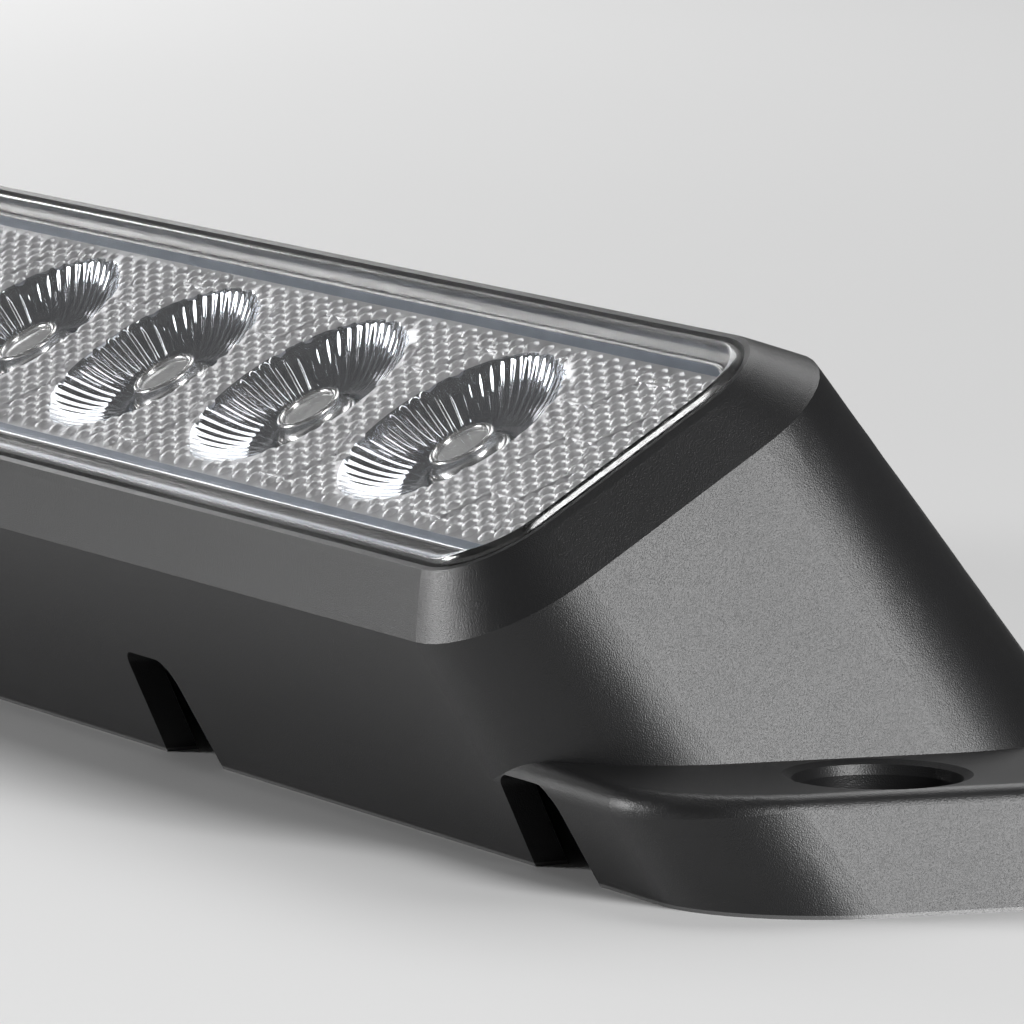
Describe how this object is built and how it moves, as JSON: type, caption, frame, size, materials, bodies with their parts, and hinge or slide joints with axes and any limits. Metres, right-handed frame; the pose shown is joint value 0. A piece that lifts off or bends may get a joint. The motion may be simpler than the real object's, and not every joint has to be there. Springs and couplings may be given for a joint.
{
  "type": "scene light",
  "caption": "Surface-mount LED scene light for a vehicle: black wedge housing with screw ears, tilted clear lens and a row of fluted bright reflector cups.",
  "frame": {"origin": "midway between the two mounting holes, on the mounting plane", "axes": "+X along the light, +Z out of the mounting plane; the lens faces up and towards -Y"},
  "size_m": [0.1968, 0.0434, 0.0298],
  "materials": {
    "black_moulding": "fine-grained satin black moulding",
    "clear_lens": "clear polished moulded lid",
    "seal_rubber": "soft black rubber",
    "bright_reflector": "vacuum-metallised mirror finish",
    "board_mask": "metal-core board with white mask",
    "pad_silicone": "grey-blue filled silicone",
    "cast_sink": "plain cast aluminium",
    "screw_steel": "plain stainless steel",
    "chip_resin": "moulded epoxy",
    "capacitor_ceramic": "fired ceramic chip",
    "terminal_plastic": "white moulded plastic",
    "led_ceramic": "white ceramic base with bright collar",
    "led_silicone": "clear silicone window"
  },
  "bodies": {
    "root": {"housing": "black_moulding", "lens_cover": "clear_lens", "lens_seal": "seal_rubber", "reflector": "bright_reflector", "led_board": "board_mask", "thermal_pad": "pad_silicone", "heat_sink": "cast_sink", "board_screws": "screw_steel", "module_screws": "screw_steel", "cable_grommet": "seal_rubber", "driver_chip": "chip_resin", "power_inductor": "chip_resin", "filter_capacitors": "capacitor_ceramic", "input_diode": "chip_resin", "current_resistors": "chip_resin", "wire_terminal": "terminal_plastic", "led_1": "led_ceramic", "led_2": "led_ceramic", "led_3": "led_ceramic", "led_4": "led_ceramic", "led_5": "led_ceramic", "led_6": "led_ceramic", "led_window_1": "led_silicone", "led_window_2": "led_silicone", "led_window_3": "led_silicone", "led_window_4": "led_silicone", "led_window_5": "led_silicone", "led_window_6": "led_silicone"}
  },
  "joints": []
}
